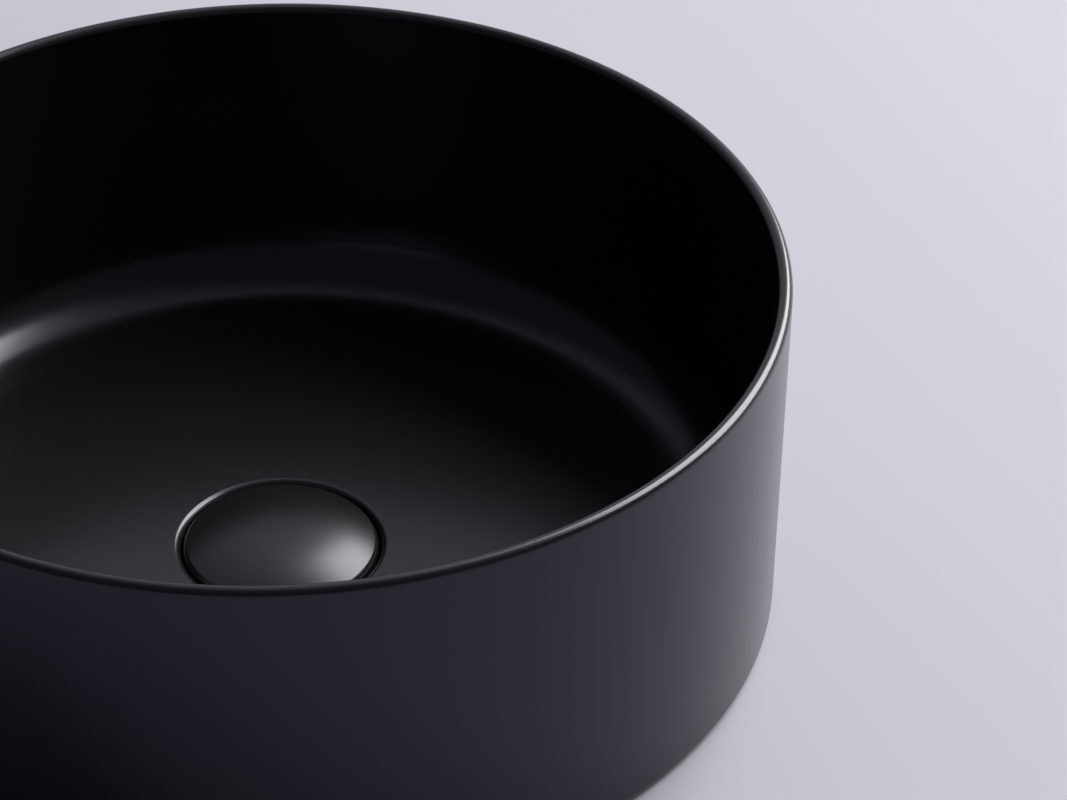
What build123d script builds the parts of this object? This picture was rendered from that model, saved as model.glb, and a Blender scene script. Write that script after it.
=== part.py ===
from build123d import *
import os

# A round countertop wash basin with a push-to-close waste. Millimetres, +Z up.
# The origin is on the basin's axis, in the plane of the foot, which is the worktop's surface.
# The plug is drawn closed: its edge is level with the floor of the bowl.

os.makedirs("parts", exist_ok=True)

# Bowl
bowl_height = 133.0
rim_radius = 180.0
base_radius = 178.0
rim_thickness = 5.2
rim_round = 2.5
base_edge_round = 4.0
inner_base_radius = 170.0
floor_height = 13.2
floor_fall = 1.2
floor_round = 26.0
foot_inner_radius = 164.0
underside_height = 3.5
boss_radius = 40.0
boss_height = 0.4

# Recess for the plug, and the hole for the waste
recess_radius = 36.2
recess_depth = 6.0
recess_lip_round = 2.6
recess_corner_round = 1.5
waste_hole_radius = 23.0
waste_hole_round = 1.0
recess_floor = floor_height - recess_depth

# Waste body: a G 1 1/4 threaded tail under a flange, with a spider across its bore
tail_radius = 20.955
tail_bore_radius = 17.8
tail_end = -70.0
tail_chamfer = 0.8
grip_radius = 20.2
grip_run_out = 0.5
flange_radius = 31.5
flange_thickness = 2.0
flange_edge_round = 0.8
mouth_radius = 21.0
mouth_depth = 5.0
seal_gap = 0.8
flange_bottom = recess_floor + seal_gap
flange_top = flange_bottom + flange_thickness
hub_radius = 11.0
hub_bore_radius = 8.05
hub_top = -9.5
hub_height = 7.0
arm_count = 4
arm_width = 3.0
arm_height = 6.0
arm_root = 1.0
arm_length = tail_bore_radius - hub_bore_radius

# Seals, washer and nut that clamp the waste to the bowl
flange_seal_radii = (21.6, 30.5)
lower_seal_bore = 21.1
lower_seal_top_radius = 28.0
lower_seal_base_radius = 30.0
lower_seal_height = 8.0
spigot_radius = 22.7
spigot_height = 3.0
slip_washer_radius = 29.0
slip_washer_thickness = 1.5
nut_across_flats = 52.0
nut_bore = 20.25
nut_face_radius = 25.6
nut_face_height = 1.5
nut_height = 9.5
nut_chamfer = 1.2
lower_seal_bottom = boss_height - lower_seal_height
slip_washer_bottom = lower_seal_bottom - slip_washer_thickness
nut_bottom = slip_washer_bottom - nut_face_height - nut_height

# Cartridge: housing, gasket, guide nut and rod seal
gasket_thickness = 0.8
gasket_radii = (8.1, 9.8)
shoulder_radius = 10.5
shoulder_height = 4.0
spanner_flats = 18.0
thread_radius = 8.0
barrel_radius = 7.6
barrel_floor_top = -43.0
barrel_bottom = -45.0
barrel_bore = 5.4
barrel_drain_radius = 2.0
guide_bore_radius = 6.7
guide_spigot_radius = 6.65
guide_spigot_height = 6.0
guide_head_flats = 15.0
guide_head_height = 3.0
guide_chamfer = 0.6
rod_clearance = 0.06
rod_seal_radius = 4.4
rod_seal_height = 1.6
rod_seal_depth = 0.8
shoulder_bottom = hub_top + gasket_thickness
shoulder_top = shoulder_bottom + shoulder_height
guide_bottom = shoulder_top - guide_spigot_height
guide_top = shoulder_top + guide_head_height

# Push rod, ratchet rotor and spring, with the plug closed
rod_radius = 3.0
rod_top = 10.9
crown_radius = 4.9
crown_top = -20.4
crown_height = 3.0
pilot_radius = 1.5
pilot_length = 4.6
tooth_count = 8
tooth_width = 2.4
tooth_depth = 1.4
rotor_gap = 0.3
rotor_radius = 4.4
rotor_height = 7.0
rotor_bore = 1.55
rotor_bore_depth = 5.5
fin_count = 4
fin_radius = 5.1
fin_width = 1.6
spring_seat_radius = 3.1
spring_seat_height = 1.5
spring_wire_radius = 0.4
spring_radius = 4.0
spring_turns = 6
spring_end_gap = 0.05
crown_bottom = crown_top - crown_height
rotor_top = crown_bottom - rotor_gap
rotor_bottom = rotor_top - rotor_height

# Plug: ceramic cover, brass plate, rubber seal and locknut
cover_radius = 35.5
cover_rise = 5.6
cover_edge_round = 2.4
cover_skirt_inner = 32.8
cover_skirt_bottom = 9.4
cover_underside = 11.4
plate_radius = 26.0
plate_thickness = 1.4
plate_step_radius = 22.0
plate_step_bottom = 10.5
pocket_clearance = 0.15
plate_boss_radius = 6.5
plate_boss_bottom = 5.0
locknut_flats = 10.0
locknut_height = 3.0
locknut_chamfer = 0.5
plate_top = cover_underside + plate_thickness
dome_radius = (cover_radius**2 + cover_rise**2) / (2 * cover_rise)


def round_corner(section, radius, height, size):
    """Rounds the corner of a half section that is nearest to a radius and height."""
    fillet(section.vertices().sort_by_distance((radius, height))[:1], size)


def write(piece, name):
    """Labels a finished piece and writes it to its own file."""
    piece.label = name
    export_step(piece, "parts/" + name + ".step")


# Basin bowl: one slip-cast ceramic shell with a full round rim, a foot ring and a boss at the waste
with BuildPart() as basin_bowl:
    with BuildSketch(Plane.XZ) as bowl_section:
        with BuildLine():
            Polyline(
                (waste_hole_radius, boss_height),
                (boss_radius, boss_height),
                (boss_radius + underside_height, underside_height),
                (foot_inner_radius - underside_height, underside_height),
                (foot_inner_radius, 0),
                (base_radius, 0),
                (rim_radius, bowl_height),
                (rim_radius - rim_thickness, bowl_height),
                (inner_base_radius, floor_height + floor_fall),
                (recess_radius, floor_height),
                (recess_radius, recess_floor),
                (waste_hole_radius, recess_floor),
                close=True,
            )
        make_face()
        round_corner(bowl_section, base_radius, 0, base_edge_round)
        round_corner(bowl_section, rim_radius, bowl_height, rim_round)
        round_corner(bowl_section, rim_radius - rim_thickness, bowl_height, rim_round)
        round_corner(bowl_section, inner_base_radius, floor_height, floor_round)
        round_corner(bowl_section, recess_radius, floor_height, recess_lip_round)
        round_corner(bowl_section, recess_radius, recess_floor, recess_corner_round)
        round_corner(bowl_section, waste_hole_radius, recess_floor, waste_hole_round)
    revolve(axis=Axis.Z)
write(basin_bowl.part, "basin_bowl")

# Flange seal: a flat foam rubber ring under the waste flange
with BuildPart() as flange_seal:
    with BuildSketch(Plane.XY.offset(recess_floor)):
        Circle(flange_seal_radii[1])
        Circle(flange_seal_radii[0], mode=Mode.SUBTRACT)
    extrude(amount=seal_gap)
write(flange_seal.part, "flange_seal")

# Waste body: a turned brass flange and tail with four arms that carry the cartridge hub.
# The tail has its thread's outer radius, and the thread's mean radius where the nut grips it.
# Each arm starts inside the hub's wall and ends inside the tail's.
with BuildPart() as waste_body:
    with BuildSketch(Plane.XZ) as waste_section:
        with BuildLine():
            Polyline(
                (tail_bore_radius, tail_end),
                (tail_radius, tail_end),
                (tail_radius, nut_bottom - grip_run_out),
                (grip_radius, nut_bottom - grip_run_out),
                (grip_radius, slip_washer_bottom),
                (tail_radius, slip_washer_bottom),
                (tail_radius, flange_bottom),
                (flange_radius, flange_bottom),
                (flange_radius, flange_top),
                (mouth_radius, flange_top),
                (tail_bore_radius, flange_top - mouth_depth),
                close=True,
            )
        make_face()
        round_corner(waste_section, flange_radius, flange_top, flange_edge_round)
        chamfer(waste_section.vertices().sort_by_distance((tail_radius, tail_end))[:1], tail_chamfer)
    revolve(axis=Axis.Z)
    with BuildSketch(Plane.XY.offset(hub_top - hub_height)):
        Circle(hub_radius)
    extrude(amount=hub_height)
    with BuildSketch(Plane.XY.offset(hub_top - hub_height)):
        with PolarLocations(hub_bore_radius + arm_root + arm_length / 2, arm_count, start_angle=45):
            Rectangle(arm_length, arm_width)
    extrude(amount=arm_height)
    with BuildSketch(Plane.XY.offset(hub_top - hub_height)):
        Circle(hub_bore_radius)
    extrude(amount=hub_height, mode=Mode.SUBTRACT)
write(waste_body.part, "waste_body")

# Lower seal: a stepped rubber cone whose spigot centres the tail in the bowl's hole
with BuildPart() as lower_seal:
    with BuildSketch(Plane.XZ):
        with BuildLine():
            Polyline(
                (lower_seal_bore, lower_seal_bottom),
                (lower_seal_base_radius, lower_seal_bottom),
                (lower_seal_top_radius, boss_height),
                (spigot_radius, boss_height),
                (spigot_radius, boss_height + spigot_height),
                (lower_seal_bore, boss_height + spigot_height),
                close=True,
            )
        make_face()
    revolve(axis=Axis.Z)
write(lower_seal.part, "lower_seal")

# Slip washer: a plastic ring that lets the nut turn without dragging the rubber round
with BuildPart() as slip_washer:
    with BuildSketch(Plane.XY.offset(slip_washer_bottom)):
        Circle(slip_washer_radius)
        Circle(lower_seal_bore, mode=Mode.SUBTRACT)
    extrude(amount=slip_washer_thickness)
write(slip_washer.part, "slip_washer")

# Back nut: a brass hexagon with a raised round face against the slip washer, bored to the
# thread's mean radius
with BuildPart() as back_nut:
    with BuildSketch(Plane.XY.offset(slip_washer_bottom)):
        Circle(nut_face_radius)
    extrude(amount=-nut_face_height)
    with BuildSketch(Plane.XY.offset(slip_washer_bottom - nut_face_height)):
        RegularPolygon(nut_across_flats / 2, 6, major_radius=False)
    extrude(amount=-nut_height)
    chamfer(back_nut.faces().sort_by(Axis.Z)[0].outer_wire().edges(), nut_chamfer)
    with BuildSketch(Plane.XY.offset(slip_washer_bottom)):
        Circle(nut_bore)
    extrude(amount=-nut_face_height - nut_height, mode=Mode.SUBTRACT)
write(back_nut.part, "back_nut")

# Cartridge gasket: a flat ring between the cartridge's shoulder and the hub
with BuildPart() as cartridge_gasket:
    with BuildSketch(Plane.XY.offset(hub_top)):
        Circle(gasket_radii[1])
        Circle(gasket_radii[0], mode=Mode.SUBTRACT)
    extrude(amount=gasket_thickness)
write(cartridge_gasket.part, "cartridge_gasket")

# Cartridge housing: a moulded barrel that screws down into the hub, with two spanner flats
with BuildPart() as cartridge_housing:
    with BuildSketch(Plane.XZ):
        with BuildLine():
            Polyline(
                (barrel_drain_radius, barrel_bottom),
                (barrel_radius, barrel_bottom),
                (barrel_radius, hub_top - hub_height),
                (thread_radius, hub_top - hub_height),
                (thread_radius, shoulder_bottom),
                (shoulder_radius, shoulder_bottom),
                (shoulder_radius, shoulder_top),
                (guide_bore_radius, shoulder_top),
                (guide_bore_radius, guide_bottom),
                (barrel_bore, guide_bottom),
                (barrel_bore, barrel_floor_top),
                (barrel_drain_radius, barrel_floor_top),
                close=True,
            )
        make_face()
    revolve(axis=Axis.Z)
    with BuildSketch(Plane.XY.offset(shoulder_bottom)):
        Circle(shoulder_radius + 1)
        Rectangle(2 * shoulder_radius + 2, spanner_flats, mode=Mode.SUBTRACT)
    extrude(amount=shoulder_height, mode=Mode.SUBTRACT)
write(cartridge_housing.part, "cartridge_housing")

# Cartridge cap: the guide nut that closes the barrel and guides the push rod
with BuildPart() as cartridge_cap:
    with BuildSketch(Plane.XY.offset(guide_bottom)):
        Circle(guide_spigot_radius)
    extrude(amount=guide_spigot_height)
    with BuildSketch(Plane.XY.offset(shoulder_top)):
        RegularPolygon(guide_head_flats / 2, 6, major_radius=False)
    extrude(amount=guide_head_height)
    chamfer(cartridge_cap.faces().sort_by(Axis.Z)[-1].outer_wire().edges(), guide_chamfer)
    with BuildSketch(Plane.XY.offset(guide_bottom)):
        Circle(rod_radius + rod_clearance)
    extrude(amount=guide_spigot_height + guide_head_height, mode=Mode.SUBTRACT)
    with BuildSketch(Plane.XY.offset(guide_top - rod_seal_depth)):
        Circle(rod_seal_radius)
    extrude(amount=-rod_seal_height, mode=Mode.SUBTRACT)
write(cartridge_cap.part, "cartridge_cap")

# Rod seal: a rubber ring in the guide nut's groove, which wipes the push rod
with BuildPart() as rod_seal:
    with BuildSketch(Plane.XY.offset(guide_top - rod_seal_depth)):
        Circle(rod_seal_radius)
        Circle(rod_radius + rod_clearance, mode=Mode.SUBTRACT)
    extrude(amount=-rod_seal_height)
write(rod_seal.part, "rod_seal")

# Click spring: a steel coil between the barrel's floor and the rotor, drawn compressed
spring_bottom = barrel_floor_top + spring_wire_radius + spring_end_gap
spring_top = rotor_bottom - spring_wire_radius - spring_end_gap
with BuildPart() as click_spring:
    with BuildLine() as spring_path:
        Helix(
            pitch=(spring_top - spring_bottom) / spring_turns,
            height=spring_top - spring_bottom,
            radius=spring_radius,
            center=(0, 0, spring_bottom),
        )
    with BuildSketch(Plane(origin=spring_path.line @ 0, z_dir=spring_path.line % 0)):
        Circle(spring_wire_radius)
    sweep(is_frenet=True)
write(click_spring.part, "click_spring")

# Ratchet rotor: fins that latch in the barrel, a ring of teeth on top and a seat for the spring
with BuildPart() as ratchet_rotor:
    with BuildSketch(Plane.XY.offset(rotor_bottom)):
        Circle(rotor_radius)
    extrude(amount=rotor_height)
    with BuildSketch(Plane.XY.offset(rotor_bottom)):
        with PolarLocations(fin_radius / 2, fin_count):
            Rectangle(fin_radius, fin_width)
    extrude(amount=rotor_height)
    with BuildSketch(Plane.XY.offset(rotor_bottom)):
        Circle(spring_seat_radius)
    extrude(amount=-spring_seat_height)
    for turn in range(tooth_count // 2):
        tooth_plane = Plane.XZ.rotated((0, 0, turn * 360 / tooth_count))
        with BuildSketch(tooth_plane):
            with BuildLine():
                Polyline(
                    (-tooth_width / 2, rotor_top),
                    (tooth_width / 2, rotor_top),
                    (0, rotor_top - tooth_depth),
                    close=True,
                )
            make_face()
        extrude(amount=fin_radius + 1, both=True, mode=Mode.SUBTRACT)
    with BuildSketch(Plane.XY.offset(rotor_top)):
        Circle(rotor_bore)
    extrude(amount=-rotor_bore_depth, mode=Mode.SUBTRACT)
write(ratchet_rotor.part, "ratchet_rotor")

# Push rod: a turned brass rod with a toothed crown that drives the rotor and a pilot that centres it
with BuildPart() as push_rod:
    with BuildSketch(Plane.XY.offset(crown_top)):
        Circle(rod_radius)
    extrude(amount=rod_top - crown_top)
    with BuildSketch(Plane.XY.offset(crown_bottom)):
        Circle(crown_radius)
    extrude(amount=crown_height)
    for turn in range(tooth_count // 2):
        tooth_plane = Plane.XZ.rotated((0, 0, turn * 360 / tooth_count))
        with BuildSketch(tooth_plane):
            with BuildLine():
                Polyline(
                    (-tooth_width / 2, crown_bottom),
                    (tooth_width / 2, crown_bottom),
                    (0, crown_bottom + tooth_depth),
                    close=True,
                )
            make_face()
        extrude(amount=crown_radius + 1, both=True, mode=Mode.SUBTRACT)
    with BuildSketch(Plane.XY.offset(crown_bottom + tooth_depth)):
        Circle(pilot_radius)
    extrude(amount=-pilot_length - tooth_depth)
write(push_rod.part, "push_rod")

# Cap locknut: fixes the plug's height on the push rod
with BuildPart() as cap_locknut:
    with BuildSketch(Plane.XY.offset(plate_boss_bottom)):
        RegularPolygon(locknut_flats / 2, 6, major_radius=False)
    extrude(amount=-locknut_height)
    chamfer(cap_locknut.faces().sort_by(Axis.Z)[0].outer_wire().edges(), locknut_chamfer)
    with BuildSketch(Plane.XY.offset(plate_boss_bottom)):
        Circle(rod_radius)
    extrude(amount=-locknut_height, mode=Mode.SUBTRACT)
write(cap_locknut.part, "cap_locknut")

# Cap plate: a brass disc bonded under the cover, stepped for the seal, with a threaded boss
with BuildPart() as cap_plate:
    with BuildSketch(Plane.XZ):
        with BuildLine():
            Polyline(
                (0, rod_top),
                (rod_radius, rod_top),
                (rod_radius, plate_boss_bottom),
                (plate_boss_radius, plate_boss_bottom),
                (plate_boss_radius, plate_step_bottom),
                (plate_step_radius, plate_step_bottom),
                (plate_step_radius, cover_underside),
                (plate_radius, cover_underside),
                (plate_radius, plate_top),
                (0, plate_top),
                close=True,
            )
        make_face()
    revolve(axis=Axis.Z)
write(cap_plate.part, "cap_plate")

# Plug seal: the rubber ring on the plate's step, which closes on the flange
with BuildPart() as plug_seal:
    with BuildSketch(Plane.XY.offset(flange_top)):
        Circle(plate_radius)
        Circle(plate_step_radius, mode=Mode.SUBTRACT)
    extrude(amount=cover_underside - flange_top)
write(plug_seal.part, "plug_seal")

# Cap cover: the domed ceramic disc, glazed like the bowl, with a skirt round its underside
with BuildPart() as cap_cover:
    with BuildSketch(Plane.XZ) as cover_section:
        with BuildLine():
            RadiusArc((cover_radius, floor_height), (0, floor_height + cover_rise), -dome_radius)
            Polyline(
                (0, floor_height + cover_rise),
                (0, plate_top),
                (plate_radius + pocket_clearance, plate_top),
                (plate_radius + pocket_clearance, cover_underside),
                (cover_skirt_inner, cover_underside),
                (cover_skirt_inner, cover_skirt_bottom),
                (cover_radius, cover_skirt_bottom),
                (cover_radius, floor_height),
            )
        make_face()
        round_corner(cover_section, cover_radius, floor_height, cover_edge_round)
        round_corner(cover_section, cover_radius, cover_skirt_bottom, cover_edge_round / 3)
    revolve(axis=Axis.Z)
write(cap_cover.part, "cap_cover")
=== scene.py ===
from math import cos, hypot, pi, radians, sin, sqrt, tan

import bpy
from mathutils import Euler, Matrix, Vector


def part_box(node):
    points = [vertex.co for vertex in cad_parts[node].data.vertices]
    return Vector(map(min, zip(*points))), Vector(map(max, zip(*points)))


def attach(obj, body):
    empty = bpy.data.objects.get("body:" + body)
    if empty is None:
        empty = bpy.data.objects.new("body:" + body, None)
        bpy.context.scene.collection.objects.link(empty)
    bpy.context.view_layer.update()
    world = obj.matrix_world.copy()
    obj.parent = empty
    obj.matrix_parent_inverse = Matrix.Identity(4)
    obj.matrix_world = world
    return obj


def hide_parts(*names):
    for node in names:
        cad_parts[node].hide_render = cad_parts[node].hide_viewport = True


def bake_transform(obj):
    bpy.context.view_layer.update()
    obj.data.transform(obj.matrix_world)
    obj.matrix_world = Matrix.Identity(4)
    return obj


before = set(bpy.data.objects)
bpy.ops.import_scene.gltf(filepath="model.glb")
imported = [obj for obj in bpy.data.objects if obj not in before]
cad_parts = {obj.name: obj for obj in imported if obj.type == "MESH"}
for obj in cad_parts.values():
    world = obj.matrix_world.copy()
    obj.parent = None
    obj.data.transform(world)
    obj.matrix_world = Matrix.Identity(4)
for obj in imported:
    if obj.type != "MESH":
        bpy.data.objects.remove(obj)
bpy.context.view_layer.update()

# ---------------------------------------------------------------------------
# Basin bowl. One ceramic shell, slip cast in a plaster mould, sponged round at the rim and
# glazed satin black inside and out. The foot ring is wiped clean, so the bare body shows there.
# ---------------------------------------------------------------------------


def rest():
    """Leaves edit mode with nothing selected."""
    if bpy.context.object and bpy.context.object.mode == "EDIT":
        bpy.ops.object.mode_set(mode="OBJECT")
    bpy.ops.object.select_all(action="DESELECT")


def take(piece):
    """Makes a piece the only one selected."""
    rest()
    bpy.context.view_layer.objects.active = piece
    piece.select_set(True)


def open_all():
    """Goes into edit mode on the active piece with all of it selected."""
    bpy.ops.object.mode_set(mode="EDIT")
    bpy.ops.mesh.select_all(action="SELECT")


def turned(name, outline, sides=192):
    """Draws a ring of edges from point to point of a half section (radius, height), as on a lathe."""
    rest()
    axis = 1e-6
    radius, height = max(outline[0][0], axis), outline[0][1]
    bpy.ops.mesh.primitive_circle_add(vertices=sides, radius=radius, location=(0, 0, height))
    bpy.ops.object.transform_apply(location=True)
    piece = bpy.context.object
    piece.name = piece.data.name = name
    open_all()
    for next_radius, next_height in outline[1:]:
        next_radius = max(next_radius, axis)
        rise = (0, 0, next_height - height)
        bpy.ops.mesh.extrude_region_move(TRANSFORM_OT_translate={"value": rise})
        grow = next_radius / radius
        bpy.ops.transform.resize(value=(grow, grow, 1), center_override=(0, 0, 0))
        radius, height = next_radius, next_height
    bpy.ops.mesh.select_all(action="SELECT")
    weld = 5e-6
    bpy.ops.mesh.remove_doubles(threshold=weld)
    bpy.ops.mesh.normals_make_consistent(inside=False)
    bpy.ops.object.mode_set(mode="OBJECT")
    return piece


def pick(piece, wanted):
    """Goes into edit mode on a piece with the edges selected whose two ends are both wanted."""
    take(piece)
    bpy.context.tool_settings.mesh_select_mode = (False, True, False)
    mesh = piece.data
    inside = [wanted(vertex.co) for vertex in mesh.vertices]
    for vertex, is_in in zip(mesh.vertices, inside):
        vertex.select = is_in
    for edge in mesh.edges:
        edge.select = all(inside[index] for index in edge.vertices)
    for face in mesh.polygons:
        face.select = all(inside[index] for index in face.vertices)
    bpy.ops.object.mode_set(mode="EDIT")


def soften(piece, radius, height, size, segments):
    """Rounds the ring of edges at a radius and height."""
    near = 2e-5
    pick(piece, lambda at: abs(hypot(at.x, at.y) - radius) < near and abs(at.z - height) < near)
    bpy.ops.mesh.bevel(offset=size, segments=segments, profile=0.5, affect="EDGES")
    bpy.ops.object.mode_set(mode="OBJECT")


def smooth(piece, angle=30):
    """Smooth shading that keeps broad faces true beside small rounded edges."""
    take(piece)
    bpy.ops.object.shade_smooth_by_angle(angle=radians(angle))
    weigh = piece.modifiers.new("weigh", "WEIGHTED_NORMAL")
    weigh.keep_sharp = True
    weigh.weight = 80
    bpy.ops.object.modifier_apply(modifier=weigh.name)


class Level:
    """A number that changes over a surface. Arithmetic on it adds Math nodes."""

    def __init__(self, socket):
        self.socket = socket

    def math(self, operation, first, second):
        tree = self.socket.id_data
        node = tree.nodes.new("ShaderNodeMath")
        node.operation = operation
        for slot, value in zip(node.inputs, (first, second)):
            if isinstance(value, Level):
                tree.links.new(value.socket, slot)
            else:
                slot.default_value = value
        return Level(node.outputs[0])

    def __add__(self, other):
        return self.math("ADD", self, other)

    def __radd__(self, other):
        return self.math("ADD", other, self)

    def __sub__(self, other):
        return self.math("SUBTRACT", self, other)

    def __rsub__(self, other):
        return self.math("SUBTRACT", other, self)

    def __mul__(self, other):
        return self.math("MULTIPLY", self, other)

    def __rmul__(self, other):
        return self.math("MULTIPLY", other, self)


class Finish:
    """A material, its shader and the nodes that drive it."""

    def __init__(self, name, **fixed):
        self.material = bpy.data.materials.new(name)
        self.material.use_nodes = True
        self.tree = self.material.node_tree
        self.shader = self.tree.nodes["Principled BSDF"]
        for socket, value in fixed.items():
            self.shader.inputs[socket.replace("_", " ")].default_value = value

    def node(self, kind, settings=None, sockets=None, out=0):
        """Adds a node: its settings first, then the values or links of its sockets."""
        node = self.tree.nodes.new(kind)
        for name, value in (settings or {}).items():
            setattr(node, name, value)
        for name, value in (sockets or {}).items():
            self.set(node.inputs[name], value)
        return Level(node.outputs[out])

    def set(self, socket, value):
        if isinstance(value, Level):
            self.tree.links.new(value.socket, socket)
        else:
            socket.default_value = value

    def drive(self, **sockets):
        for name, value in sockets.items():
            self.set(self.shader.inputs[name.replace("_", " ")], value)

    def place(self):
        return self.node("ShaderNodeTexCoord", out="Object")

    def height(self):
        return self.node("ShaderNodeSeparateXYZ", None, {"Vector": self.place()}, out="Z")

    def radius(self):
        flat = {0: self.place(), 1: (1, 1, 0)}
        flat = self.node("ShaderNodeVectorMath", {"operation": "MULTIPLY"}, flat, out="Vector")
        return self.node("ShaderNodeVectorMath", {"operation": "LENGTH"}, {0: flat}, out="Value")

    def ramp(self, level, low, high):
        """Turns a level's run from low to high into a smooth step from 0 to 1."""
        sockets = {"Value": level, "From Min": low, "From Max": high}
        return self.node("ShaderNodeMapRange", {"interpolation_type": "SMOOTHSTEP"}, sockets)

    def noise(self, scale, detail=2.0, rough=0.5):
        sockets = {"Vector": self.place(), "Scale": scale, "Detail": detail, "Roughness": rough}
        return self.node("ShaderNodeTexNoise", None, sockets, out="Fac")

    def mix(self, share, first, second):
        sockets = {0: share, 6: first, 7: second}
        return self.node("ShaderNodeMix", {"data_type": "RGBA"}, sockets, out=2)

    def bump(self, height, depth, strength=1.0):
        sockets = {"Height": height, "Distance": depth, "Strength": strength}
        self.drive(Normal=self.node("ShaderNodeBump", None, sockets))

    def put_on(self, piece):
        piece.data.materials.clear()
        piece.data.materials.append(self.material)


bowl_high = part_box("basin_bowl")[1]
rim_radius = bowl_high.x
bowl_height = bowl_high.z
wall_lean = 0.002
base_radius = rim_radius - wall_lean
rim_thickness = 0.0052
rim_round = 0.0025
base_edge_round = 0.004
wall_foot_radius = 0.170
floor_round = 0.026
floor_at_wall = 0.0144
floor_at_recess = 0.0132
recess_radius = 0.0362
recess_floor = 0.0072
recess_corner_round = 0.0015
lip_round = 0.0026
hole_radius = 0.023
hole_edge_round = 0.001
foot_inner_radius = 0.164
foot_edge_round = 0.001
underside = 0.0035
boss_radius = 0.040
boss_bottom = 0.0004

bowl = turned(
    "bowl",
    [
        (hole_radius, boss_bottom),
        (boss_radius, boss_bottom),
        (boss_radius + underside, underside),
        (foot_inner_radius - underside, underside),
        (foot_inner_radius, 0),
        (base_radius, 0),
        (rim_radius, bowl_height),
        (rim_radius - rim_thickness, bowl_height),
        (wall_foot_radius, floor_at_wall),
        (recess_radius, floor_at_recess),
        (recess_radius, recess_floor),
        (hole_radius, recess_floor),
        (hole_radius, boss_bottom),
    ],
    sides=288,
)
soften(bowl, rim_radius, bowl_height, rim_round, 14)
soften(bowl, rim_radius - rim_thickness, bowl_height, rim_round, 14)
soften(bowl, base_radius, 0, base_edge_round, 8)
soften(bowl, wall_foot_radius, floor_at_wall, floor_round, 20)
soften(bowl, recess_radius, floor_at_recess, lip_round, 12)
soften(bowl, recess_radius, recess_floor, recess_corner_round, 5)
soften(bowl, hole_radius, recess_floor, hole_edge_round, 4)
soften(bowl, foot_inner_radius, 0, foot_edge_round, 3)
smooth(bowl)

glaze_black = (0.0052, 0.0052, 0.0053, 1)
glaze_worn = (0.0068, 0.0068, 0.0070, 1)
# Bluish base colour for the outer wall: a painted blue reflection, standing in for the bluish light that
# the glaze reflects there.
painted_reflection_blue = (0.0058, 0.0065, 0.0125, 1)
bare_clay = (0.52, 0.47, 0.40, 1)
bare_clay_dark = (0.40, 0.35, 0.29, 1)
clay_roughness = 0.92
clay_grain = 3
glaze_index = 1.5
glaze_tint = (0.79, 0.82, 1.0, 1)
wiped_heights = 0.0004, 0.0006
wiped_waver = 0.0003
wiped_radii = 0.10, 0.12
outer_radii = 0.1765, 0.1778
under_rim_heights = 0.1318, 0.1285
glaze = Finish("satin_black_glaze", IOR=glaze_index, Specular_Tint=glaze_tint)
broad = glaze.noise(9.0, 3.0)
fine = glaze.noise(240.0, 3.0)
grain = glaze.noise(1600.0, 4.0)
wiped_edge = glaze.height() + wiped_waver * (broad - 0.5)
wiped = (1 - glaze.ramp(wiped_edge, *wiped_heights)) * glaze.ramp(glaze.radius(), *wiped_radii)
# Mask for the outer wall below the rim, where the bluish colour is laid on as painted blue reflection.
# The inside and the rim keep the plain glaze colour.
outside = glaze.ramp(glaze.radius(), *outer_radii) * glaze.ramp(glaze.height(), *under_rim_heights)
colour = glaze.mix(outside, glaze.mix(broad, glaze_black, glaze_worn), painted_reflection_blue)
clay = glaze.mix(grain, bare_clay_dark, bare_clay)
gloss = 0.22 + 0.04 * (broad - 0.5) + 0.04 * (fine - 0.5)
glaze.drive(Base_Color=glaze.mix(wiped, colour, clay), Roughness=gloss + wiped * (clay_roughness - gloss))
glaze.bump(fine + wiped * grain * clay_grain, 0.000012, 0.6)
glaze.put_on(bowl)
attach(bowl, "basin")
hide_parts("basin_bowl")

# ---------------------------------------------------------------------------
# Flange seal. A ring punched from closed-cell foam rubber and laid in the recess. The waste's
# flange squeezes it flat against the glaze.
# ---------------------------------------------------------------------------


def dress(node, finish):
    """Gives a carried-over node its finish."""
    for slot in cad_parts[node].material_slots:
        slot.material = finish.material


foam = Finish("foam_rubber", Specular_IOR_Level=0.3)
cell_sockets = {"Vector": foam.place(), "Scale": 2600.0}
cells = foam.node("ShaderNodeTexVoronoi", None, cell_sockets, out="Distance")
foam.drive(Base_Color=foam.mix(cells, (0.014, 0.014, 0.015, 1), (0.045, 0.045, 0.048, 1)))
foam.drive(Roughness=0.75 + 0.2 * cells)
foam.bump(cells, 0.00006)
dress("flange_seal", foam)

# ---------------------------------------------------------------------------
# Waste body. A hot-forged brass flange and tail, turned, threaded on the outside and chromed.
# Four cast arms across the bore carry the hub that the cartridge screws into.
# ---------------------------------------------------------------------------


def block(name, low, high, turn=0.0):
    """A square bar between two corners, turned about the basin's axis."""
    rest()
    middle = [(a + b) / 2 for a, b in zip(low, high)]
    sides = [b - a for a, b in zip(low, high)]
    bpy.ops.mesh.primitive_cube_add(size=1, location=middle)
    piece = bpy.context.object
    piece.name = piece.data.name = name
    piece.scale = sides
    bpy.ops.object.transform_apply(location=True, scale=True)
    open_all()
    bpy.ops.transform.rotate(value=turn, orient_axis="Z", center_override=(0, 0, 0))
    bpy.ops.object.mode_set(mode="OBJECT")
    return piece


def work(piece, tools, operation):
    """Cuts tools out of a piece, adds them to it or keeps what both share. The tools are used up."""
    for tool in tools:
        take(piece)
        change = piece.modifiers.new("work", "BOOLEAN")
        change.operation = operation
        change.solver = "EXACT"
        change.object = tool
        bpy.ops.object.modifier_apply(modifier=change.name)
        bpy.data.objects.remove(tool)


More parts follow.
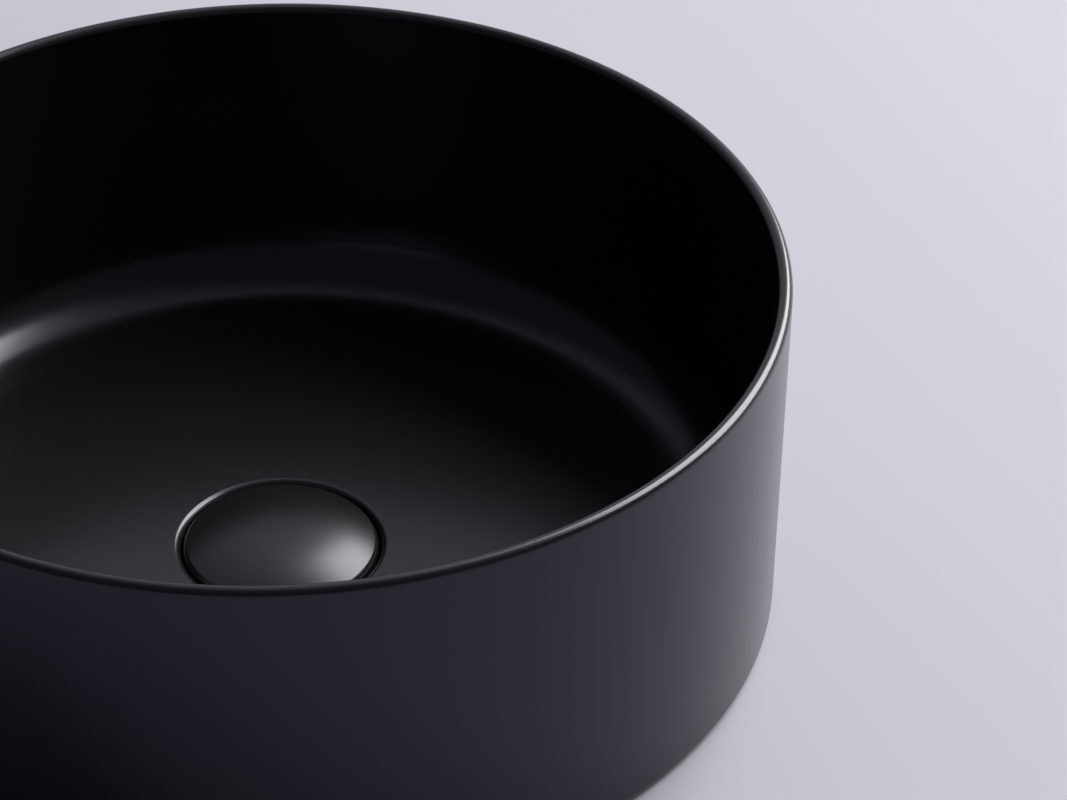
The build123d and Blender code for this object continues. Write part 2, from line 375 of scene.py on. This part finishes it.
def groove(name, root, crest, pitch, bottom, top, half_angle=27.5):
    """The space that a thread's groove takes out of a bar, wound from bottom to top."""
    rest()
    proud = 0.0003
    root_half = 0.00015
    mouth_half = root_half + (crest + proud - root) * tan(radians(half_angle))
    bpy.ops.mesh.primitive_plane_add(size=1, location=(0, 0, 0))
    piece = bpy.context.object
    piece.name = piece.data.name = name
    corners = [
        (root, -root_half), (crest + proud, -mouth_half),
        (crest + proud, mouth_half), (root, root_half),
    ]
    loop = [piece.data.vertices[index] for index in piece.data.polygons[0].vertices]
    for vertex, (radius, height) in zip(loop, corners):
        vertex.co = (radius, 0, bottom + height)
    open_all()
    bpy.ops.mesh.delete(type="ONLY_FACE")
    bpy.ops.object.mode_set(mode="OBJECT")
    wind = piece.modifiers.new("wind", "SCREW")
    wind.axis = "Z"
    wind.steps = wind.render_steps = 60
    wind.screw_offset = pitch
    wind.iterations = int((top - bottom) / pitch)
    bpy.ops.object.modifier_apply(modifier=wind.name)
    open_all()
    bpy.ops.mesh.fill_holes(sides=4)
    bpy.ops.mesh.normals_make_consistent(inside=False)
    bpy.ops.object.mode_set(mode="OBJECT")
    return piece


def sleeve(name, bore, outside, bottom, top, sides):
    """A turned ring with a square section."""
    outline = [(bore, bottom), (outside, bottom), (outside, top), (bore, top), (bore, bottom)]
    return turned(name, outline, sides)


waste_low, waste_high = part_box("waste_body")
flange_radius = waste_high.x
flange_top = waste_high.z
flange_thickness = 0.002
flange_edge_round = 0.0008
flange_bottom = flange_top - flange_thickness
mouth_radius = 0.021
mouth_depth = 0.005
mouth_edge_round = 0.0004
mouth_throat_round = 0.0015
tail_radius = 0.020955
tail_bore_radius = 0.0178
tail_end = waste_low.z
tail_chamfer = 0.0012
thread_pitch = 0.002309
thread_root = 0.019476
plain_neck = 0.006
hub_radius = 0.011
hub_bore_radius = 0.00805
hub_top = -0.0095
hub_bottom = -0.0165
hub_top_round = 0.0004
hub_bottom_round = 0.0006
arm_top = -0.0105
arm_width = 0.003
arm_round = 0.0007
arm_bite = 0.0004
arm_count = 4

waste = turned(
    "waste",
    [
        (tail_bore_radius, tail_end),
        (tail_radius - tail_chamfer, tail_end),
        (tail_radius, tail_end + tail_chamfer),
        (tail_radius, flange_bottom),
        (flange_radius, flange_bottom),
        (flange_radius, flange_top),
        (mouth_radius, flange_top),
        (tail_bore_radius, flange_top - mouth_depth),
        (tail_bore_radius, tail_end),
    ],
    sides=144,
)
soften(waste, flange_radius, flange_top, flange_edge_round, 6)
soften(waste, mouth_radius, flange_top, mouth_edge_round, 4)
soften(waste, tail_bore_radius, flange_top - mouth_depth, mouth_throat_round, 5)
thread_run = tail_end - thread_pitch, flange_bottom - plain_neck
cutter = groove("groove", thread_root, tail_radius, thread_pitch, *thread_run)
work(waste, [cutter], "DIFFERENCE")
hub = sleeve("hub", hub_bore_radius, hub_radius, hub_bottom, hub_top, sides=96)
soften(hub, hub_radius, hub_top, hub_top_round, 4)
soften(hub, hub_radius, hub_bottom, hub_bottom_round, 4)
arms = []
for count in range(arm_count):
    low = ((hub_bore_radius + hub_radius) / 2, -arm_width / 2, hub_bottom)
    high = (tail_bore_radius + arm_bite, arm_width / 2, arm_top)
    arm = block("arm", low, high, radians(45 + count * 360 / arm_count))
    open_all()
    bpy.ops.mesh.bevel(offset=arm_round, segments=4, affect="EDGES")
    bpy.ops.object.mode_set(mode="OBJECT")
    arms.append(arm)
rest()
for piece in (hub, *arms, waste):
    piece.select_set(True)
bpy.context.view_layer.objects.active = waste
bpy.ops.object.join()
smooth(waste)

chrome = Finish("chromed_brass", Metallic=1.0, Base_Color=(0.62, 0.63, 0.65, 1))


def lathe_marks(finish, scale):
    """Fine lines round the axis, as a turning tool leaves them on sides and faces alike."""
    along = finish.height() + finish.radius()
    sockets = {"W": along, "Scale": scale, "Detail": 3.0}
    return finish.node("ShaderNodeTexNoise", {"noise_dimensions": "1D"}, sockets, out="Fac")


marks = lathe_marks(chrome, 9000.0)
cloud = chrome.noise(60.0, 3.0)
chrome.drive(Roughness=0.07 + 0.06 * cloud + 0.05 * marks)
chrome.drive(Base_Color=chrome.mix(cloud, (0.58, 0.59, 0.61, 1), (0.66, 0.67, 0.69, 1)))
chrome.bump(marks, 0.000002, 0.5)
chrome.put_on(waste)
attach(waste, "basin")
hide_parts("waste_body")

# ---------------------------------------------------------------------------
# Lower seal. A moulded rubber cone that is pressed up round the tail from below. Its spigot
# stands in the bowl's hole and keeps the tail in the middle.
# ---------------------------------------------------------------------------

lower_low, lower_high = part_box("lower_seal")
lower_bore = 0.0211
lower_top_radius = 0.028
lower_base_radius = lower_high.x
spigot_radius = 0.0227
lower_top = boss_bottom
lower_base_round = 0.0008
lower_top_round = 0.0006
lower_lip_round = 0.0005

lower_seal = turned(
    "cone_seal",
    [
        (lower_bore, lower_low.z),
        (lower_base_radius, lower_low.z),
        (lower_top_radius, lower_top),
        (spigot_radius, lower_top),
        (spigot_radius, lower_high.z),
        (lower_bore, lower_high.z),
        (lower_bore, lower_low.z),
    ],
    sides=144,
)
soften(lower_seal, lower_base_radius, lower_low.z, lower_base_round, 5)
soften(lower_seal, lower_top_radius, lower_top, lower_top_round, 4)
soften(lower_seal, spigot_radius, lower_high.z, lower_lip_round, 4)
soften(lower_seal, lower_bore, lower_low.z, lower_lip_round, 4)
smooth(lower_seal)

rubber = Finish("seal_rubber", Specular_IOR_Level=0.4)
cloud = rubber.noise(90.0, 4.0)
skin = rubber.noise(2200.0, 3.0)
rubber.drive(Base_Color=rubber.mix(cloud, (0.012, 0.012, 0.012, 1), (0.030, 0.029, 0.028, 1)))
rubber.drive(Roughness=0.55 + 0.15 * cloud + 0.08 * skin)
rubber.bump(skin, 0.00002)
rubber.put_on(lower_seal)
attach(lower_seal, "basin")
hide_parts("lower_seal")

# ---------------------------------------------------------------------------
# Slip washer. A polyethylene ring, punched from sheet, so that the nut slides on it and
# doesn't drag the rubber round.
# ---------------------------------------------------------------------------

washer_low, washer_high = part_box("slip_washer")
washer_round = 0.0003
washer = sleeve("washer", lower_bore, washer_high.x, washer_low.z, washer_high.z, sides=144)
soften(washer, washer_high.x, washer_low.z, washer_round, 3)
soften(washer, washer_high.x, washer_high.z, washer_round, 3)
smooth(washer)

sheet_plastic = Finish("washer_plastic", Subsurface_Weight=0.15, Subsurface_Scale=0.002)
cloud = sheet_plastic.noise(120.0, 3.0)
skin = sheet_plastic.noise(1800.0, 2.0)
sheet_plastic.drive(Base_Color=sheet_plastic.mix(cloud, (0.66, 0.67, 0.66, 1), (0.74, 0.75, 0.73, 1)))
sheet_plastic.drive(Roughness=0.38 + 0.12 * cloud)
sheet_plastic.bump(skin, 0.000008)
sheet_plastic.put_on(washer)
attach(washer, "basin")
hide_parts("slip_washer")

# ---------------------------------------------------------------------------
# Back nut. A forged brass hexagon, faced and chamfered on the lathe, with a raised round face
# that bears on the slip washer. It clamps the waste to the bowl.
# ---------------------------------------------------------------------------


def hexagon(name, flats, bottom, top, corner_on_x):
    """A six-sided bar of that width across its flats. A corner reaches 0.577 of it, a flat 0.5."""
    rest()
    size = {"radius": flats / sqrt(3), "depth": top - bottom}
    bpy.ops.mesh.primitive_cylinder_add(vertices=6, location=(0, 0, (top + bottom) / 2), **size)
    bpy.ops.object.transform_apply(location=True)
    piece = bpy.context.object
    piece.name = piece.data.name = name
    widest = max(vertex.co.x for vertex in piece.data.vertices)
    between = 0.55
    if corner_on_x != (widest > flats * between):
        open_all()
        bpy.ops.transform.rotate(value=radians(30), orient_axis="Z", center_override=(0, 0, 0))
        bpy.ops.object.mode_set(mode="OBJECT")
    return piece


def cut_flats(piece, flats, low, high):
    """Cuts six flats on a turned piece, with a corner on X where its box says so."""
    spare = 0.001
    bar = hexagon("hexagon", flats, low.z - spare, high.z + spare, high.x > high.y)
    work(piece, [bar], "INTERSECT")


def edge_round(piece, size, segments, angle=35):
    """Takes the sharpness off every edge that turns by more than the angle."""
    take(piece)
    break_edge = piece.modifiers.new("break_edge", "BEVEL")
    break_edge.width, break_edge.segments = size, segments
    break_edge.limit_method = "ANGLE"
    break_edge.angle_limit = radians(angle)
    bpy.ops.object.modifier_apply(modifier=break_edge.name)


nut_low, nut_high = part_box("back_nut")
nut_flats = 0.052
nut_corner = nut_flats / sqrt(3)
nut_face_radius = 0.0256
nut_face_height = 0.0015
nut_bore = 0.0210
nut_bore_chamfer = 0.0008
nut_chamfer_run = 0.0046
nut_chamfer_rise = 0.0021
nut_back_share = 0.7
nut_edge_round = 0.00025
nut_shading = 18
past_corner = 0.0001
hex_top = nut_high.z - nut_face_height

nut = turned(
    "nut",
    [
        (nut_bore, nut_low.z + nut_bore_chamfer),
        (nut_bore + nut_bore_chamfer, nut_low.z),
        (nut_corner - nut_chamfer_run, nut_low.z),
        (nut_corner + past_corner, nut_low.z + nut_chamfer_rise),
        (nut_corner + past_corner, hex_top - nut_chamfer_rise * nut_back_share),
        (nut_face_radius + nut_bore_chamfer, hex_top),
        (nut_face_radius, hex_top),
        (nut_face_radius, nut_high.z),
        (nut_bore, nut_high.z),
        (nut_bore, nut_low.z + nut_bore_chamfer),
    ],
    sides=144,
)
cut_flats(nut, nut_flats, nut_low, nut_high)
edge_round(nut, nut_edge_round, 2)
smooth(nut, nut_shading)

brass = Finish("turned_brass", Metallic=1.0)
marks = lathe_marks(brass, 5000.0)
cloud = brass.noise(70.0, 4.0)
spots = brass.noise(700.0, 3.0, 0.7)
tarnish = brass.ramp(spots, 0.58, 0.85)
clean = brass.mix(cloud, (0.60, 0.42, 0.17, 1), (0.72, 0.53, 0.24, 1))
brass.drive(Base_Color=brass.mix(tarnish, clean, (0.44, 0.29, 0.12, 1)))
brass.drive(Roughness=0.24 + 0.10 * cloud + 0.08 * marks + 0.12 * tarnish)
brass.bump(marks, 0.000006, 0.7)
brass.put_on(nut)
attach(nut, "basin")
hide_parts("back_nut")

# ---------------------------------------------------------------------------
# Cartridge housing and gasket. The housing is an acetal moulding that screws down into the
# hub on a rubber gasket. Two flats on its shoulder take the spanner.
# ---------------------------------------------------------------------------

dress("cartridge_gasket", rubber)

housing_low, housing_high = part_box("cartridge_housing")
shoulder_radius = 0.0105
shoulder_flats = 0.018
shoulder_round = 0.0004
thread_relief = 0.0004
gasket_gap = 0.0008
shoulder_bottom = hub_top + gasket_gap
housing_thread_radius = 0.0080
housing_thread_root = 0.0074
housing_pitch = 0.0010
barrel_radius = 0.0076
barrel_bore = 0.0054
barrel_round = 0.0008
barrel_floor_top = -0.043
drain_radius = 0.002
drain_round = 0.0003
guide_bore_radius = 0.0067
guide_bottom = housing_high.z - 0.006

housing = turned(
    "housing",
    [
        (drain_radius, housing_low.z),
        (barrel_radius, housing_low.z),
        (barrel_radius, hub_bottom),
        (housing_thread_radius, hub_bottom),
        (housing_thread_radius, shoulder_bottom),
        (shoulder_radius, shoulder_bottom),
        (shoulder_radius, housing_high.z),
        (guide_bore_radius, housing_high.z),
        (guide_bore_radius, guide_bottom),
        (barrel_bore, guide_bottom),
        (barrel_bore, barrel_floor_top),
        (drain_radius, barrel_floor_top),
        (drain_radius, housing_low.z),
    ],
    sides=96,
)
soften(housing, barrel_radius, housing_low.z, barrel_round, 5)
soften(housing, shoulder_radius, housing_high.z, shoulder_round, 3)
soften(housing, drain_radius, housing_low.z, drain_round, 3)
thread_run = hub_bottom - housing_pitch, shoulder_bottom - thread_relief
cutter = groove("groove", housing_thread_root, housing_thread_radius, housing_pitch, *thread_run)
work(housing, [cutter], "DIFFERENCE")
far, flat = 0.02, shoulder_flats / 2
above = housing_high.z + 0.001
for side in (-1, 1):
    low_y, high_y = sorted((side * flat, side * far))
    cutter = block("cutter", (-far, low_y, shoulder_bottom), (far, high_y, above))
    work(housing, [cutter], "DIFFERENCE")
smooth(housing)

acetal = Finish("cartridge_plastic", Subsurface_Weight=0.08, Subsurface_Scale=0.002)
cloud = acetal.noise(150.0, 3.0)
skin = acetal.noise(2400.0, 2.0)
acetal.drive(Base_Color=acetal.mix(cloud, (0.70, 0.70, 0.68, 1), (0.78, 0.78, 0.76, 1)))
acetal.drive(Roughness=0.30 + 0.12 * cloud + 0.05 * skin)
acetal.bump(skin, 0.000006)
acetal.put_on(housing)
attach(housing, "basin")
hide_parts("cartridge_housing")

# ---------------------------------------------------------------------------
# Click spring. Hard-drawn stainless wire, coiled with its end turns closed. It stands on the
# barrel's floor and lifts the rotor.
# ---------------------------------------------------------------------------

rotor_low, rotor_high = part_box("ratchet_rotor")
wire_radius = 0.0004
coil_radius = 0.004
open_turns = 5
closed_turns = 1
steps_per_turn = 32
wire_clearance = 0.00003
closed_pitch = 2 * wire_radius * 1.02
rotor_top = rotor_high.z
rotor_height = 0.007
rotor_bottom = rotor_top - rotor_height
seat_radius = 0.0031
coil_bottom = barrel_floor_top + wire_radius + wire_clearance
coil_top = rotor_bottom - wire_radius - wire_clearance
closed_rise = closed_pitch / steps_per_turn
open_rise = (coil_top - coil_bottom) / (open_turns * steps_per_turn)
open_rise -= 2 * closed_turns * closed_rise / open_turns

rest()
bpy.ops.mesh.primitive_circle_add(vertices=12, radius=wire_radius, fill_type="NGON")
spring = bpy.context.object
spring.name = spring.data.name = "coil_spring"
open_all()
bpy.ops.transform.rotate(value=radians(90), orient_axis="X", center_override=(0, 0, 0))
bpy.ops.transform.translate(value=(coil_radius, 0, coil_bottom))
for step in range((open_turns + 2 * closed_turns) * steps_per_turn):
    turn = step // steps_per_turn
    closed = turn < closed_turns or turn >= closed_turns + open_turns
    rise = (0, 0, closed_rise if closed else open_rise)
    bpy.ops.mesh.extrude_region_move(TRANSFORM_OT_translate={"value": rise})
    step_angle = 2 * pi / steps_per_turn
    bpy.ops.transform.rotate(value=step_angle, orient_axis="Z", center_override=(0, 0, 0))
bpy.ops.mesh.select_all(action="SELECT")
bpy.ops.mesh.normals_make_consistent(inside=False)
bpy.ops.object.mode_set(mode="OBJECT")
wire_shading = 50
smooth(spring, wire_shading)

steel = Finish("spring_steel", Metallic=1.0)
drawn = steel.noise(1400.0, 4.0)
cloud = steel.noise(200.0, 2.0)
steel.drive(Base_Color=steel.mix(cloud, (0.42, 0.41, 0.40, 1), (0.55, 0.54, 0.53, 1)))
steel.drive(Roughness=0.22 + 0.15 * drawn)
steel.bump(drawn, 0.000004)
steel.put_on(spring)
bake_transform(spring)
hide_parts("click_spring")

# ---------------------------------------------------------------------------
# Ratchet rotor. A glass-filled nylon moulding with four fins that run in the barrel and a ring
# of teeth on top. Each push turns it by one tooth.
# ---------------------------------------------------------------------------


def teeth(count, width, depth, level, reach):
    """Bars of triangular section across the axis, for cutting a ring of notches at a level."""
    rows = []
    proud = 0.0003
    size = abs(depth) + proud
    half = width / 2 * size / abs(depth)
    away = -1 if depth > 0 else 1
    for row in range(count // 2):
        rest()
        bpy.ops.mesh.primitive_cube_add(size=2)
        bar = bpy.context.object
        for vertex in bar.data.vertices:
            x, y, z = vertex.co
            at_tip = z > 0
            spread = 0.0 if at_tip else half
            height = level + (depth if at_tip else away * proud)
            vertex.co = (x * spread, y * reach, height)
        open_all()
        bpy.ops.mesh.remove_doubles(threshold=1e-6)
        turn = 2 * pi * row / count
        bpy.ops.transform.rotate(value=turn, orient_axis="Z", center_override=(0, 0, 0))
        bpy.ops.mesh.normals_make_consistent(inside=False)
        bpy.ops.object.mode_set(mode="OBJECT")
        rows.append(bar)
    return rows


tooth_count = 8
tooth_width = 0.0024
tooth_depth = 0.0014
tooth_reach = 0.007
tooth_round = 0.00006
rotor_radius = 0.0044
fin_radius = 0.0051
fin_width = 0.0016
fin_root = 0.001
fin_count = 4
rotor_bore = 0.00155
rotor_bore_depth = 0.0055
seat_round = 0.0003

rotor = turned(
    "rotor",
    [
        (0, rotor_low.z),
        (seat_radius, rotor_low.z),
        (seat_radius, rotor_bottom),
        (rotor_radius, rotor_bottom),
        (rotor_radius, rotor_top),
        (rotor_bore, rotor_top),
        (rotor_bore, rotor_top - rotor_bore_depth),
        (0, rotor_top - rotor_bore_depth),
    ],
    sides=72,
)
soften(rotor, seat_radius, rotor_low.z, seat_round, 3)
fins = []
for count in range(fin_count):
    low = (rotor_radius - fin_root, -fin_width / 2, rotor_bottom)
    high = (fin_radius, fin_width / 2, rotor_top)
    fins.append(block("fin", low, high, radians(count * 360 / fin_count)))
work(rotor, fins, "UNION")
work(rotor, teeth(tooth_count, tooth_width, -tooth_depth, rotor_top, tooth_reach), "DIFFERENCE")
edge_round(rotor, tooth_round, 2, angle=40)
smooth(rotor)

nylon = Finish("rotor_plastic", Specular_IOR_Level=0.45)
fibres = nylon.noise(1800.0, 5.0, 0.7)
cloud = nylon.noise(160.0, 2.0)
nylon.drive(Base_Color=nylon.mix(cloud, (0.10, 0.11, 0.13, 1), (0.14, 0.15, 0.17, 1)))
nylon.drive(Roughness=0.42 + 0.2 * fibres)
nylon.bump(fibres, 0.00001)
nylon.put_on(rotor)
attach(rotor, "rotor")
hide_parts("ratchet_rotor")

# ---------------------------------------------------------------------------
# Push rod. Turned brass: a rod with a toothed crown that drives the rotor, a thin pilot that
# centres it and a threaded top for the plug.
# ---------------------------------------------------------------------------

rod_low, rod_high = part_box("push_rod")
rod_radius = 0.003
rod_thread_root = 0.0026
rod_pitch = 0.0008
rod_chamfer = 0.0003
crown_radius = 0.0049
crown_top = -0.0204
crown_bottom = -0.0234
crown_round = 0.0003
pilot_radius = 0.0015
rod_thread_bottom = 0.0005

rod = turned(
    "rod",
    [
        (0, crown_bottom),
        (crown_radius, crown_bottom),
        (crown_radius, crown_top),
        (rod_radius, crown_top),
        (rod_radius, rod_high.z - rod_chamfer),
        (rod_radius - rod_chamfer, rod_high.z),
        (0, rod_high.z),
    ],
    sides=72,
)
soften(rod, crown_radius, crown_top, crown_round, 3)
work(rod, teeth(tooth_count, tooth_width, tooth_depth, crown_bottom, tooth_reach), "DIFFERENCE")
pilot_top = crown_bottom + 2 * tooth_depth
pilot = turned(
    "pilot",
    [
        (0, rod_low.z),
        (pilot_radius - rod_chamfer, rod_low.z),
        (pilot_radius, rod_low.z + rod_chamfer),
        (pilot_radius, pilot_top),
        (0, pilot_top),
    ],
    sides=48,
)
work(rod, [pilot], "UNION")
thread_run = rod_thread_bottom, rod_high.z + rod_pitch
cutter = groove("groove", rod_thread_root, rod_radius, rod_pitch, *thread_run)
work(rod, [cutter], "DIFFERENCE")
smooth(rod)
brass.put_on(rod)
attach(rod, "plug")
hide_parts("push_rod")

# ---------------------------------------------------------------------------
# Cartridge cap. The acetal guide nut that closes the barrel: a spigot pressed into the
# housing and a hexagon head, with a groove inside for the rod seal.
# ---------------------------------------------------------------------------

guide_low, guide_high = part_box("cartridge_cap")
guide_radius = 0.00665
guide_flats = 0.015
guide_corner = guide_flats / sqrt(3)
guide_play = 0.00006
guide_bore = rod_radius + guide_play
guide_chamfer = 0.0006
guide_lead = 0.0003
guide_edge_round = 0.00012
seal_low, seal_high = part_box("rod_seal")
seal_radius = seal_high.x
head_bottom = housing_high.z

guide = turned(
    "guide_nut",
    [
        (guide_bore, guide_low.z),
        (guide_radius - guide_lead, guide_low.z),
        (guide_radius, guide_low.z + guide_lead),
        (guide_radius, head_bottom),
        (guide_corner + past_corner, head_bottom),
        (guide_corner + past_corner, guide_high.z - guide_chamfer),
        (guide_corner - 2 * guide_chamfer, guide_high.z),
        (guide_bore, guide_high.z),
        (guide_bore, seal_high.z),
        (seal_radius, seal_high.z),
        (seal_radius, seal_low.z),
        (guide_bore, seal_low.z),
        (guide_bore, guide_low.z),
    ],
    sides=96,
)
cut_flats(guide, guide_flats, guide_low, guide_high)
edge_round(guide, guide_edge_round, 2)
smooth(guide, nut_shading)

guide_acetal = Finish("guide_plastic", Subsurface_Weight=0.08, Subsurface_Scale=0.001)
cloud = guide_acetal.noise(220.0, 3.0)
skin = guide_acetal.noise(2600.0, 2.0)
guide_acetal.drive(Base_Color=guide_acetal.mix(cloud, (0.62, 0.62, 0.60, 1), (0.70, 0.70, 0.68, 1)))
guide_acetal.drive(Roughness=0.28 + 0.14 * cloud)
guide_acetal.bump(skin, 0.000006)
guide_acetal.put_on(guide)
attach(guide, "basin")
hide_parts("cartridge_cap")

# ---------------------------------------------------------------------------
# Rod seal. A square rubber ring in the guide nut's groove, which wipes the rod.
# ---------------------------------------------------------------------------

dress("rod_seal", rubber)

# ---------------------------------------------------------------------------
# Cap locknut. A small turned brass hexagon on the rod's thread, tightened up against the plate's
# boss to fix the plug's height.
# ---------------------------------------------------------------------------

lock_low, lock_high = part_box("cap_locknut")
lock_flats = 0.010
lock_corner = lock_flats / sqrt(3)
lock_chamfer = 0.0005
lock_bore = rod_radius + 0.00002
lock_edge_round = 0.0001

locknut = turned(
    "lock_nut",
    [
        (lock_bore, lock_low.z),
        (lock_corner - 2 * lock_chamfer, lock_low.z),
        (lock_corner + past_corner, lock_low.z + lock_chamfer),
        (lock_corner + past_corner, lock_high.z),
        (lock_bore, lock_high.z),
        (lock_bore, lock_low.z),
    ],
    sides=96,
)
cut_flats(locknut, lock_flats, lock_low, lock_high)
edge_round(locknut, lock_edge_round, 2)
smooth(locknut, nut_shading)
brass.put_on(locknut)
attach(locknut, "plug")
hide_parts("cap_locknut")

# ---------------------------------------------------------------------------
# Cap plate. A turned brass disc bonded into the cover's pocket, stepped for the seal, with a
# boss that is tapped for the push rod.
# ---------------------------------------------------------------------------

plate_low, plate_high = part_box("cap_plate")
plate_boss_radius = 0.0065
plate_step_radius = 0.022
plate_step_bottom = 0.0105
plate_rim_bottom = 0.0114
plate_chamfer = 0.0003
plate_edge_round = 0.0003
boss_end_round = 0.0006
boss_foot_round = 0.0008

plate = turned(
    "plate",
    [
        (0, rod_high.z),
        (rod_radius, rod_high.z),
        (rod_radius, plate_low.z + plate_chamfer),
        (rod_radius + plate_chamfer, plate_low.z),
        (plate_boss_radius, plate_low.z),
        (plate_boss_radius, plate_step_bottom),
        (plate_step_radius, plate_step_bottom),
        (plate_step_radius, plate_rim_bottom),
        (plate_high.x, plate_rim_bottom),
        (plate_high.x, plate_high.z),
        (0, plate_high.z),
    ],
    sides=144,
)
soften(plate, plate_boss_radius, plate_low.z, boss_end_round, 4)
soften(plate, plate_boss_radius, plate_step_bottom, boss_foot_round, 4)
soften(plate, plate_step_radius, plate_step_bottom, plate_edge_round, 3)
soften(plate, plate_high.x, plate_rim_bottom, plate_edge_round, 3)
smooth(plate)
brass.put_on(plate)
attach(plate, "plug")
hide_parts("cap_plate")

# ---------------------------------------------------------------------------
# Plug seal. A moulded rubber ring stretched onto the plate's step. Its lower face closes on the
# flange when the plug is down.
# ---------------------------------------------------------------------------

ring_low, ring_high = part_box("plug_seal")
ring_outer_round = 0.0005
ring_inner_round = 0.0003
ring = sleeve("seal_ring", plate_step_radius, ring_high.x, ring_low.z, ring_high.z, sides=144)
soften(ring, ring_high.x, ring_low.z, ring_outer_round, 5)
soften(ring, plate_step_radius, ring_low.z, ring_inner_round, 3)
smooth(ring)

plug_rubber = Finish("plug_rubber", Specular_IOR_Level=0.4)
cloud = plug_rubber.noise(90.0, 4.0)
skin = plug_rubber.noise(2400.0, 3.0)
plug_rubber.drive(Base_Color=plug_rubber.mix(cloud, (0.016, 0.016, 0.017, 1), (0.034, 0.034, 0.036, 1)))
plug_rubber.drive(Roughness=0.50 + 0.15 * cloud + 0.08 * skin)
plug_rubber.bump(skin, 0.000015)
plug_rubber.put_on(ring)
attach(ring, "plug")
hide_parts("plug_seal")

# ---------------------------------------------------------------------------
# Plug cover. A ceramic disc pressed and glazed with the bowl: a shallow dome with a rounded
# edge, hollow beneath for the brass plate that carries it.
# ---------------------------------------------------------------------------

cover_low, cover_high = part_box("cap_cover")
cover_radius = cover_high.x
cover_edge = 0.0132
cover_rise = cover_high.z - cover_edge
cover_round = 0.0024
cover_lower_round = cover_round / 3
skirt_inner = 0.0328
cover_underside = 0.0114
plate_top = 0.0128
pocket_radius = 0.02615
dome_fullness = 2.5
dome_steps = 24

dome = []
for step in range(dome_steps + 1):
    out = 1 - step / dome_steps
    dome.append((cover_radius * out, cover_high.z - cover_rise * out**dome_fullness))
cover = turned(
    "plug_cover",
    [
        (0, plate_top),
        (pocket_radius, plate_top),
        (pocket_radius, cover_underside),
        (skirt_inner, cover_underside),
        (skirt_inner, cover_low.z),
        (cover_radius, cover_low.z),
        *dome,
    ],
)
soften(cover, cover_radius, cover_edge, cover_round, 10)
soften(cover, cover_radius, cover_low.z, cover_lower_round, 4)
smooth(cover)

cover_glaze = Finish("satin_black_cover_glaze", IOR=glaze_index, Specular_Tint=glaze_tint)
broad = cover_glaze.noise(14.0, 3.0)
fine = cover_glaze.noise(300.0, 3.0)
colour = cover_glaze.mix(broad, glaze_black, glaze_worn)
gloss = 0.29 + 0.04 * (broad - 0.5) + 0.04 * (fine - 0.5)
cover_glaze.drive(Base_Color=colour, Roughness=gloss)
cover_glaze.bump(fine, 0.00001, 0.6)
cover_glaze.put_on(cover)
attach(cover, "plug")
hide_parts("cap_cover")

# ---------------------------------------------------------------------------
# Worktop. A pale matt surface with a round cut-out, which the nut and the tail hang through.
# ---------------------------------------------------------------------------

worktop_reach = 5.0
cut_out_radius = 0.035
worktop = turned("worktop", [(cut_out_radius, 0), (worktop_reach, 0)], sides=96)
pale = (0.317, 0.318, 0.385, 1)
paler = (0.321, 0.322, 0.390, 1)
paint = Finish("pale_worktop", Roughness=0.6, Specular_IOR_Level=0.2)
paint.drive(Base_Color=paint.mix(paint.noise(3.0), pale, paler))
paint.put_on(worktop)

# ---------------------------------------------------------------------------
# Studio. One large softbox high on the right and behind, in a room that is pale behind the
# basin and to its right, and dark on the near side and the left.
# ---------------------------------------------------------------------------

towards_bright_side = (0.286, 0.676, 0.418)
darkening = -0.138
dimmest = 0.11
room_colour = (0.97, 0.98, 1.08, 1)

world = bpy.data.worlds.new("studio")
bpy.context.scene.world = world
world.use_nodes = True
room = world.node_tree
background = room.nodes["Background"]
direction = room.nodes.new("ShaderNodeTexCoord").outputs["Generated"]
slope = room.nodes.new("ShaderNodeVectorMath")
slope.operation = "DOT_PRODUCT"
room.links.new(direction, slope.inputs[0])
slope.inputs[1].default_value = towards_bright_side
glow = room.nodes.new("ShaderNodeMath")
glow.operation = "ADD"
room.links.new(slope.outputs["Value"], glow.inputs[0])
glow.inputs[1].default_value = darkening
dim = room.nodes.new("ShaderNodeMath")
dim.operation = "MAXIMUM"
room.links.new(glow.outputs[0], dim.inputs[0])
dim.inputs[1].default_value = dimmest
room.links.new(dim.outputs[0], background.inputs["Strength"])
background.inputs["Color"].default_value = room_colour

key_turn, key_lift = radians(53), radians(39)
key_distance = 3.2
key_aim = Vector((0, 0, 0.06))
key_width, key_height = 2.9, 2.4
key_glow = 12.0
level = cos(key_lift)
away = Vector((sin(key_turn) * level, cos(key_turn) * level, sin(key_lift)))
rest()
bpy.ops.object.light_add(type="AREA", location=away * key_distance + key_aim)
key = bpy.context.object
key.name = "key"
key.rotation_euler = away.to_track_quat("Z", "Y").to_euler()
key.data.shape = "RECTANGLE"
key.data.size, key.data.size_y = key_width, key_height
key.data.energy = key_glow * pi * key_width * key_height
key.data.color = (1.0, 0.985, 0.90)

# ---------------------------------------------------------------------------
# Camera. A long lens, looking down over the near rim on the right-hand part of the basin.
# ---------------------------------------------------------------------------

tilt = radians(54.0793)
turn_right = radians(4.1912)
roll = radians(0.5007)
stand = (0, -1.24253, 0.97545)
lens = 146.451
bpy.ops.object.camera_add(location=stand)
camera = bpy.context.object
aim = Euler((tilt, 0, -turn_right)).to_matrix() @ Matrix.Rotation(roll, 3, "Z")
camera.rotation_euler = aim.to_euler()
camera.data.sensor_width = 36
camera.data.lens = lens
camera.data.clip_end = 50
bpy.context.scene.camera = camera
bpy.context.scene.view_settings.view_transform = "Standard"
